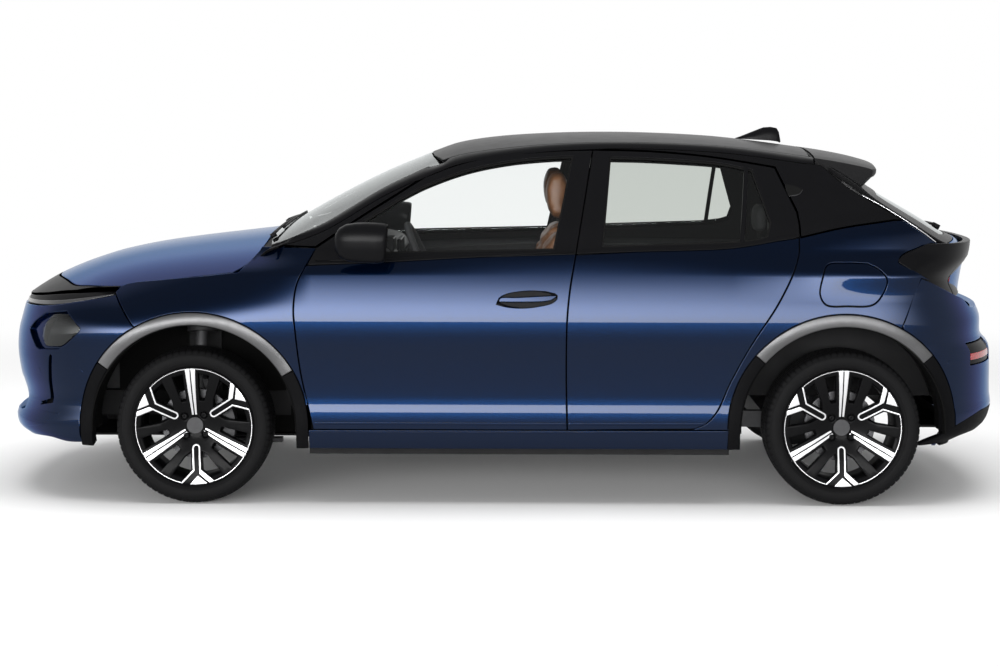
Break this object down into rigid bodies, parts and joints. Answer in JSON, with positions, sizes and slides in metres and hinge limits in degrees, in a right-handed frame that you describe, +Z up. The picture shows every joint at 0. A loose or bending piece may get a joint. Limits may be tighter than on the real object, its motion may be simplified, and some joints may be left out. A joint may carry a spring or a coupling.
{
  "type": "compact five-door hatchback",
  "caption": "Compact hatchback with hollow cabin, opening doors, bonnet, tailgate and fuel flap, steered front wheels and rolling road wheels.",
  "frame": {"origin": "centre of the bounding box in plan, on the ground under the tyres", "axes": "+X to the rear of the car, +Y to the car's right, +Z up"},
  "size_m": [4.0788, 2.01, 1.4788],
  "materials": {
    "body_paint": "metallic blue, clear coated",
    "black_gloss": "gloss black",
    "black_trim": "grained black",
    "silver_trim": "satin silver",
    "dark_steel": "dark coated steel",
    "iron": "machined iron",
    "engine_grey": "plain",
    "wheel_alloy": "machined and black painted",
    "tyre": "matt black",
    "clear_glass": "tinted pale green",
    "lamp_lens": "clear lens",
    "red_lens": "red lens",
    "seat_tan": "tan and black leather",
    "bench_dark": "dark cloth",
    "dash_dark": "soft black",
    "wheel_leather": "black leather"
  },
  "bodies": {
    "body": {"floor_pan": "dark_steel", "roof_panel": "black_gloss", "windscreen": "clear_glass", "front_frame": "dark_steel", "front_subframe": "dark_steel", "rear_axle_beam": "dark_steel", "engine_block": "engine_grey", "front_bumper": "body_paint", "rear_bumper": "body_paint", "grille_bar": "black_gloss", "front_lamps": "lamp_lens", "rear_lamps": "black_gloss", "front_wings": "body_paint", "arch_trims": "silver_trim", "arch_liners": "black_trim", "under_trays": "black_trim", "cowl_panel": "black_trim", "dashboard": "dash_dark", "front_seats": "seat_tan", "rear_seat": "bench_dark", "body_side_left": "body_paint", "body_side_right": "body_paint"},
    "steering": {"steering_wheel": "wheel_leather"},
    "bonnet": {"bonnet": "body_paint"},
    "tailgate": {"tailgate": "body_paint", "tailgate_glass": "clear_glass", "tailgate_spoiler": "black_gloss", "tailgate_blade": "black_gloss"},
    "fuel_flap": {"fuel_flap": "body_paint"},
    "front_door_left": {"front_door_left": "body_paint", "front_door_glass_left": "clear_glass", "door_mirror_left": "black_gloss"},
    "rear_door_left": {"rear_door_left": "body_paint", "rear_door_glass_left": "clear_glass"},
    "knuckle_left": {"knuckle_left": "iron"},
    "front_wheel_left": {"front_wheel_left": "wheel_alloy", "front_tyre_left": "tyre"},
    "rear_wheel_left": {"rear_wheel_left": "wheel_alloy", "rear_tyre_left": "tyre"},
    "front_door_right": {"front_door_right": "body_paint", "front_door_glass_right": "clear_glass", "door_mirror_right": "black_gloss"},
    "rear_door_right": {"rear_door_right": "body_paint", "rear_door_glass_right": "clear_glass"},
    "knuckle_right": {"knuckle_right": "iron"},
    "front_wheel_right": {"front_wheel_right": "wheel_alloy", "front_tyre_right": "tyre"},
    "rear_wheel_right": {"rear_wheel_right": "wheel_alloy", "rear_tyre_right": "tyre"}
  },
  "joints": [
    {"name": "steer_left", "type": "hinge", "parent": "body", "child": "knuckle_left", "pos_m": [-1.205, -0.69, 0.195], "axis": [0, 0.2101, 0.9777], "range_deg": [-33, 33]},
    {"name": "steer_right", "type": "hinge", "parent": "body", "child": "knuckle_right", "pos_m": [-1.205, 0.69, 0.195], "axis": [0, -0.2101, 0.9777], "range_deg": [-33, 33]},
    {"name": "steering_turn", "type": "hinge", "parent": "body", "child": "steering", "pos_m": [-0.315, -0.37, 0.905], "axis": [0.9135, 0, 0.4067], "range_deg": [-462, 462]},
    {"name": "front_wheel_spin_left", "type": "hinge", "parent": "knuckle_left", "child": "front_wheel_left", "pos_m": [-1.205, -0.75, 0.305], "axis": [0, 1, 0], "continuous": true},
    {"name": "rear_wheel_spin_left", "type": "hinge", "parent": "body", "child": "rear_wheel_left", "pos_m": [1.335, -0.75, 0.305], "axis": [0, 1, 0], "continuous": true},
    {"name": "front_wheel_spin_right", "type": "hinge", "parent": "knuckle_right", "child": "front_wheel_right", "pos_m": [-1.205, 0.75, 0.305], "axis": [0, 1, 0], "continuous": true},
    {"name": "rear_wheel_spin_right", "type": "hinge", "parent": "body", "child": "rear_wheel_right", "pos_m": [1.335, 0.75, 0.305], "axis": [0, 1, 0], "continuous": true},
    {"name": "front_door_hinge_left", "type": "hinge", "parent": "body", "child": "front_door_left", "pos_m": [-0.69, -0.852, 0.6], "axis": [0, 0, -1], "range_deg": [0, 65]},
    {"name": "rear_door_hinge_left", "type": "hinge", "parent": "body", "child": "rear_door_left", "pos_m": [0.31, -0.852, 0.6], "axis": [0, 0, -1], "range_deg": [0, 70]},
    {"name": "front_door_hinge_right", "type": "hinge", "parent": "body", "child": "front_door_right", "pos_m": [-0.69, 0.852, 0.6], "axis": [0, 0, 1], "range_deg": [0, 65]},
    {"name": "rear_door_hinge_right", "type": "hinge", "parent": "body", "child": "rear_door_right", "pos_m": [0.31, 0.852, 0.6], "axis": [0, 0, 1], "range_deg": [0, 70]},
    {"name": "tailgate_hinge", "type": "hinge", "parent": "body", "child": "tailgate", "pos_m": [1.229, 0, 1.386], "axis": [0, -1, 0], "range_deg": [0, 78]},
    {"name": "bonnet_hinge", "type": "hinge", "parent": "body", "child": "bonnet", "pos_m": [-0.944, 0, 1.036], "axis": [0, 1, 0], "range_deg": [0, 52]},
    {"name": "fuel_flap_hinge", "type": "hinge", "parent": "body", "child": "fuel_flap", "pos_m": [1.231, -0.876, 0.875], "axis": [0, 0, -1], "range_deg": [0, 95]}
  ],
  "couplings": [
    {"joint": "steer_right", "follows": "steer_left", "ratio": 1},
    {"joint": "steering_turn", "follows": "steer_left", "ratio": 14}
  ]
}
